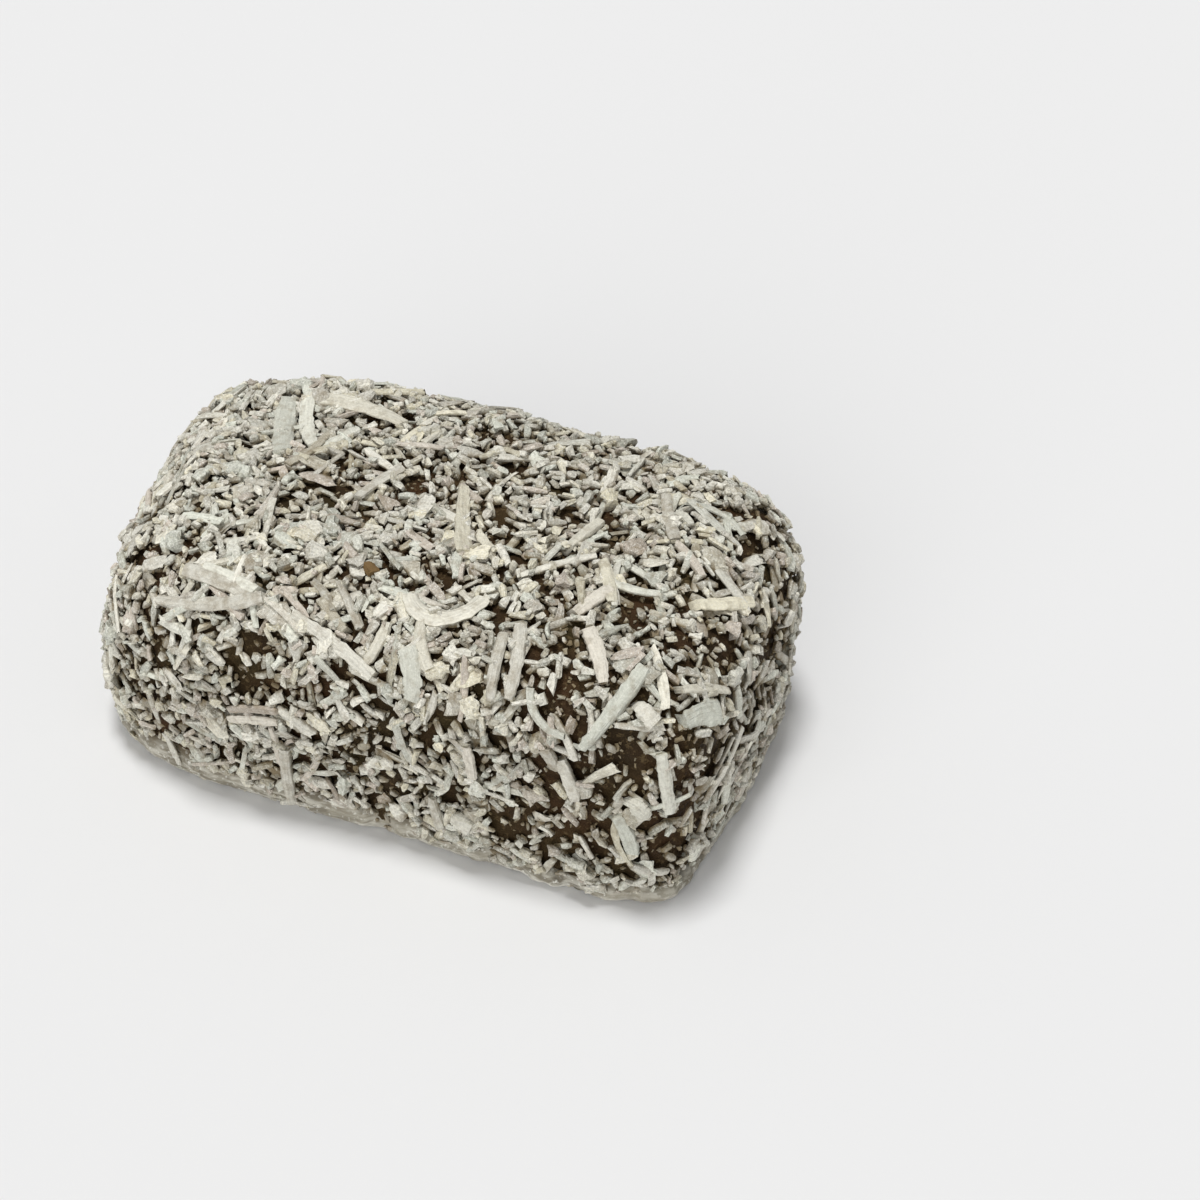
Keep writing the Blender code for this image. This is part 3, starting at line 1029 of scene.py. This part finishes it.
class FootSettings(bpy.types.PropertyGroup):
    height: length_property("Height", "Mean height of the foot at the front", 4.6 * MM)
    proud: length_property("Proud", "How far the foot stands out of the icing", 1.0 * MM)
    shade_colour: colour_property("Shade", "Wetter stretches", (0.24, 0.215, 0.165))
    pale_colour: colour_property("Pale", "Drier stretches", (0.55, 0.52, 0.43))
    speck_colour: colour_property("Specks", "Fine dry specks", (0.80, 0.785, 0.71))
    brown_colour: colour_property("Brown", "Where it meets the icing", (0.12, 0.085, 0.04))


class StageSettings(bpy.types.PropertyGroup):
    azimuth: angle_property("Azimuth", "Direction of the camera round the cake, from its front", 24)
    elevation: angle_property("Elevation", "Height of the camera over the table, as an angle", 43)
    distance: length_property("Distance", "From the camera to near the middle of the base", 0.4275)
    lens: number_property("Lens", "Focal length of the camera, in millimetres", 85.6)
    floor_colour: colour_property("Floor", "Pale matt table", (0.80, 0.80, 0.80))
    sky: number_property("Soft light", "Even light from all round", 0.32)
    key: number_property("Key light", "Strong light from nearly overhead", 1.90)
    fill: number_property("Fill light", "Broad, lower light on the front", 1.05)


def settings_of(context, group):
    return getattr(context.scene, "lamington_" + group)


# --- Operators -------------------------------------------------------------------------------------

ICING_AROUND = 410
ICING_STEPS = (18, 5, 52, 29, 44)
ICING_MOTTLE = ((0.5, 2.4 * MM, 21), (0.5, 1.1 * MM, 22))
FOOT_AROUND = 840
FOOT_STEPS = (2, 4, 40, 8, 2)
LINE_RING = 6  # the ring at the bottom of the wall, which the foot follows
OUT_RING = 16  # the ring on the wall whose normals say which way is out
FOOT_PROFILE_POINTS = 16
FOOT_GAP = 0.03 * MM  # the foot starts this high
FOOT_HEIGHT_MOTTLE = ((0.7, 9 * MM, 31), (0.6, 3 * MM, 32), (0.5, 1.3 * MM, 37))
FOOT_REACH_MOTTLE = ((0.25, 6 * MM, 33), (0.2, 1.6 * MM, 34))
FOOT_UNEVEN = 0.24  # how much the first changes its height
FOOT_RIGHT_LOSS = 0.34  # how much lower the front's foot is at the right end than in the middle
TUCKED_UPPER, TUCKED_LOWER = 1.6 * MM, 1.9 * MM  # how far in its upper and lower edges lie
INNER_DEPTH, INNER_HEIGHT = 2.8 * MM, 0.7  # how far in its hidden side lies, and its share of the height
# Ledges of the foot along the front: x where each begins and how far out it steps, in millimetres.
FOOT_LEDGES = (
    (-38, 0.3), (-24, -0.3), (-10, 0.5), (-0.5, -1.2), (2.8, 1.0), (17.5, -0.5), (24.5, 0.8), (29.3, -1.1),
    (33, 0.7), (38, -0.3), (44, 1.1),
)
LEDGE_BLUR = 0.8 * MM
FOOT_LOWER = 0.5  # how much lower the foot is on the other sides than at the front
# Corners where the foot runs out further: direction and how far.
FOOT_CORNERS = ((CRISP_CORNER, 1.1 * MM), (math.radians(-145), 0.5 * MM))
FLOOR_HALF = 3.0  # half the table's width, in metres
KEY_SPREAD, KEY_TOWARD = 14, (-0.05, 0.0, 1.0)  # degrees, and the direction the light comes from
FILL_SPREAD, FILL_TOWARD = 45, (-0.06, -1.0, 0.5)
SENSOR = 36  # width of the camera's sensor in millimetres
CAMERA_CENTRE = Vector((0.001, 0.0, 0.0))  # what its azimuth, elevation and distance start from
CAMERA_AIM = Vector((0.0133, 0.0304, 0.0))  # the spot on the table that it points at


def foot_rings(settings):
    """A closed profile carried round the bar's foot, as rings (around, points, 3).

    The outer side runs from the floor up and in to the icing: its reach beyond the wall is
    a share cos(turn) of its full reach at the height (1 + sin(turn)) / 2, with turn from -90 to 90
    degrees, so that it bulges in the middle. Mottle changes its height and reach, and ledges step it
    out or in along the front as tanh((x - start) / LEDGE_BLUR).
    """
    skin, normals = bar_surface(FOOT_AROUND, FOOT_STEPS)
    line, out = skin[LINE_RING], unit(normals[OUT_RING] * np.array([1, 1, 0]))
    uneven = mottles(line, FOOT_HEIGHT_MOTTLE)
    front = np.clip(-out[:, 1], 0, 1) ** 2
    height = settings.height * (1 + FOOT_UNEVEN * uneven - FOOT_RIGHT_LOSS * line[:, 0] / BAR_HIGH[0] * front)
    height *= 1 - FOOT_LOWER * (1 - front)
    reach = settings.proud * (1 + mottles(line, FOOT_REACH_MOTTLE)) - ICING_DEPTH
    for start, step in FOOT_LEDGES:
        reach += front * step * MM * (1 + np.tanh((line[:, 0] - start * MM) / LEDGE_BLUR)) / 2
    for corner, step in FOOT_CORNERS:
        reach += step * np.clip(out @ np.array([math.cos(corner), math.sin(corner), 0]), 0, 1) ** 8
    reach = np.clip(reach, -0.9 * ICING_DEPTH, None)
    turn = np.linspace(-0.5, 0.5, FOOT_PROFILE_POINTS) * math.pi
    bulge = np.cos(turn)
    rise = (1 + np.sin(turn)) / 2
    tucked = np.where(turn > 0, TUCKED_UPPER, TUCKED_LOWER)
    away = (reach[:, None] + tucked) * bulge - tucked
    ring = line[:, None] + out[:, None] * away[..., None]
    ring[..., 2] = FOOT_GAP + height[:, None] * rise
    fuzz = 0.22 * mottle(ring, 1.0 * MM, 35) + 0.10 * mottle(ring * np.array([1, 1, 3]), 2.4 * MM, 36)
    ring += out[:, None] * (fuzz * MM * bulge)[..., None]
    inner = np.repeat((line - out * INNER_DEPTH)[:, None], 2, axis=1)
    inner[:, 0, 2] = height * INNER_HEIGHT
    inner[:, 1, 2] = FOOT_GAP
    return np.concatenate([ring, inner], axis=1)


class LAMINGTON_OT_icing(bpy.types.Operator):
    """Make the chocolate-iced bar: the bar's surface moved in by the icing's depth, with small lumps"""

    bl_idname = "lamington.icing"
    bl_label = "Ice the Bar"

    def execute(self, context):
        settings = settings_of(context, "icing")
        points, normals = bar_surface(ICING_AROUND, ICING_STEPS)
        lumps = mottles(points, ICING_MOTTLE)
        points = points - normals * (settings.depth - settings.roughness * lumps)[..., None]
        points[0] = points[0].mean(axis=0)
        points[-1] = points[-1].mean(axis=0)
        mesh = new_mesh("iced_bar", *closed_rings(points))
        piece = finish_piece("iced_bar", mesh, icing_material(settings))
        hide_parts(NODE)
        return {"FINISHED"}


def add_coconut(context, name):
    """Make one kind of coconut bit as one mesh, with its UVs, tints, heights and crests."""
    settings = settings_of(context, "coat")
    vertices, uvs, lift, crest, tint = coat(settings.seed, settings.plenty)[name]
    count, rings, sides = vertices.shape[:3]
    mesh = new_mesh(name, vertices.reshape(-1, 3), *tube_faces(count, rings, sides))
    shape = KINDS.get(name, PICKED_SHAPE)
    mesh.set_sharp_from_angle(angle=math.radians(shape.sharp))
    add_uvs(mesh, uvs)
    add_values(mesh, "tint", tint)
    add_values(mesh, "lift", lift / MM)
    add_values(mesh, "crest", crest)
    finish_piece(name, mesh, coconut_material(name + "_flesh", settings, shape.mealy))


class CoatStep:
    """What the operators that each lay one kind of coconut bit have in common."""

    def execute(self, context):
        add_coconut(context, self.bit)
        return {"FINISHED"}


class LAMINGTON_OT_dust(CoatStep, bpy.types.Operator):
    """Lay the finest specks of desiccated coconut"""

    bl_idname = "lamington.dust"
    bl_label = "Lay Dust"
    bit = "coconut_dust"


class LAMINGTON_OT_grains(CoatStep, bpy.types.Operator):
    """Lay the grains of desiccated coconut"""

    bl_idname = "lamington.grains"
    bl_label = "Lay Grains"
    bit = "coconut_grains"


class LAMINGTON_OT_crumbs(CoatStep, bpy.types.Operator):
    """Lay the blocky crumbs of coconut"""

    bl_idname = "lamington.crumbs"
    bl_label = "Lay Crumbs"
    bit = "coconut_crumbs"


class LAMINGTON_OT_chips(CoatStep, bpy.types.Operator):
    """Lay the short, square-ended chips of coconut"""

    bl_idname = "lamington.chips"
    bl_label = "Lay Chips"
    bit = "coconut_chips"


class LAMINGTON_OT_shreds(CoatStep, bpy.types.Operator):
    """Lay the shreds of coconut"""

    bl_idname = "lamington.shreds"
    bl_label = "Lay Shreds"
    bit = "coconut_shreds"


class LAMINGTON_OT_flakes(CoatStep, bpy.types.Operator):
    """Lay the broad, thin flakes of coconut"""

    bl_idname = "lamington.flakes"
    bl_label = "Lay Flakes"
    bit = "coconut_flakes"


class LAMINGTON_OT_clumps(CoatStep, bpy.types.Operator):
    """Lay the clumps of coconut that cling together"""

    bl_idname = "lamington.clumps"
    bl_label = "Lay Clumps"
    bit = "coconut_clumps"


class LAMINGTON_OT_threads(CoatStep, bpy.types.Operator):
    """Lay the long threads of coconut"""

    bl_idname = "lamington.threads"
    bl_label = "Lay Threads"
    bit = "coconut_threads"


class LAMINGTON_OT_picked(CoatStep, bpy.types.Operator):
    """Lay the large shreds and curls that are listed one by one"""

    bl_idname = "lamington.picked"
    bl_label = "Lay Picked Shreds"
    bit = "coconut_picked"


class LAMINGTON_OT_foot(bpy.types.Operator):
    """Press the smooth foot of coconut around the base"""

    bl_idname = "lamington.foot"
    bl_label = "Press the Foot"

    def execute(self, context):
        settings = settings_of(context, "foot")
        loop = foot_rings(settings)
        around, points = loop.shape[:2]
        i, j = np.meshgrid(np.arange(around), np.arange(points), indexing="ij")
        next_i, next_j = (i + 1) % around, (j + 1) % points
        corners = [i * points + j, next_i * points + j, next_i * points + next_j, i * points + next_j]
        loops = np.stack(corners, axis=-1).ravel()
        mesh = new_mesh("pressed_foot", loop.reshape(-1, 3), loops, np.full(around * points, 4))
        add_values(mesh, "share", np.clip(loop[..., 2] / settings.height, 0, 1.5))
        finish_piece("pressed_foot", mesh, foot_material(settings))
        return {"FINISHED"}


class LAMINGTON_OT_stage(bpy.types.Operator):
    """Set the pale table, the soft light and the camera"""

    bl_idname = "lamington.stage"
    bl_label = "Set the Stage"

    def execute(self, context):
        settings = settings_of(context, "stage")
        self.table(context, settings)
        self.light(context, settings)
        self.camera(context, settings)
        context.scene.view_settings.view_transform = "Standard"
        return {"FINISHED"}

    def table(self, context, settings):
        mesh = bpy.data.meshes.new("table")
        half = FLOOR_HALF
        corners = [(-half, -half, 0), (half, -half, 0), (half, half, 0), (-half, half, 0)]
        mesh.from_pydata(corners, [], [(0, 1, 2, 3)])
        recipe = Recipe("pale_table")
        recipe.set(Base_Color=colour(settings.floor_colour), Roughness=0.9)
        recipe.surface.inputs["Specular IOR Level"].default_value = 0.1
        mesh.materials.append(recipe.material)
        table = bpy.data.objects.new("table", mesh)
        context.scene.collection.objects.link(table)

    def light(self, context, settings):
        world = bpy.data.worlds.new("soft_room")
        world.use_nodes = True
        back = world.node_tree.nodes["Background"]
        back.inputs["Color"].default_value = (1.0, 1.0, 1.0, 1.0)
        back.inputs["Strength"].default_value = settings.sky
        context.scene.world = world
        self.lamp(context, "broad_key", settings.key, KEY_SPREAD, KEY_TOWARD)
        self.lamp(context, "front_fill", settings.fill, FILL_SPREAD, FILL_TOWARD)

    def lamp(self, context, name, strength, spread, toward):
        """A distant lamp whose light comes from the direction toward, softened over spread degrees."""
        lamp = bpy.data.lights.new(name, "SUN")
        lamp.energy = strength
        lamp.angle = math.radians(spread)
        holder = bpy.data.objects.new(name, lamp)
        holder.rotation_euler = Vector(toward).to_track_quat("Z", "Y").to_euler()
        context.scene.collection.objects.link(holder)

    def camera(self, context, settings):
        """Camera at the given azimuth, elevation and distance, aimed beside the cake to frame it."""
        lens = bpy.data.cameras.new("view")
        lens.lens = settings.lens
        lens.sensor_width = SENSOR
        lens.clip_start = 0.01
        eye = bpy.data.objects.new("view", lens)
        a, e = settings.azimuth, settings.elevation
        back = Vector((math.sin(a) * math.cos(e), -math.cos(a) * math.cos(e), math.sin(e)))
        eye.location = CAMERA_CENTRE + back * settings.distance
        eye.rotation_euler = (CAMERA_AIM - eye.location).to_track_quat("-Z", "Y").to_euler()
        context.scene.collection.objects.link(eye)
        context.scene.camera = eye


class LAMINGTON_PT_panel(bpy.types.Panel):
    """Lists the steps of making the cake and their settings"""

    bl_idname = "LAMINGTON_PT_panel"
    bl_label = "Lamington"
    bl_space_type = "VIEW_3D"
    bl_region_type = "UI"
    bl_category = "Lamington"

    def draw(self, context):
        for group, steps in STEPS.items():
            box = self.layout.box()
            settings = settings_of(context, group)
            for name in settings.__annotations__:
                box.prop(settings, name)
            for step in steps:
                box.operator(step.bl_idname)


STEPS = {
    "icing": (LAMINGTON_OT_icing,),
    "coat": (
        LAMINGTON_OT_dust,
        LAMINGTON_OT_grains,
        LAMINGTON_OT_crumbs,
        LAMINGTON_OT_chips,
        LAMINGTON_OT_shreds,
        LAMINGTON_OT_flakes,
        LAMINGTON_OT_clumps,
        LAMINGTON_OT_threads,
        LAMINGTON_OT_picked,
    ),
    "foot": (LAMINGTON_OT_foot,),
    "stage": (LAMINGTON_OT_stage,),
}
GROUPS = {
    "icing": IcingSettings,
    "coat": CoatSettings,
    "foot": FootSettings,
    "stage": StageSettings,
}


def register():
    for name, group in GROUPS.items():
        bpy.utils.register_class(group)
        setattr(bpy.types.Scene, "lamington_" + name, bpy.props.PointerProperty(type=group))
    for steps in STEPS.values():
        for step in steps:
            bpy.utils.register_class(step)
    bpy.utils.register_class(LAMINGTON_PT_panel)


def unregister():
    bpy.utils.unregister_class(LAMINGTON_PT_panel)
    for steps in STEPS.values():
        for step in steps:
            bpy.utils.unregister_class(step)
    for name, group in GROUPS.items():
        delattr(bpy.types.Scene, "lamington_" + name)
        bpy.utils.unregister_class(group)


def main():
    register()
    for steps in STEPS.values():
        for step in steps:
            group, name = step.bl_idname.split(".")
            getattr(getattr(bpy.ops, group), name)()


if __name__ == "__main__":
    main()
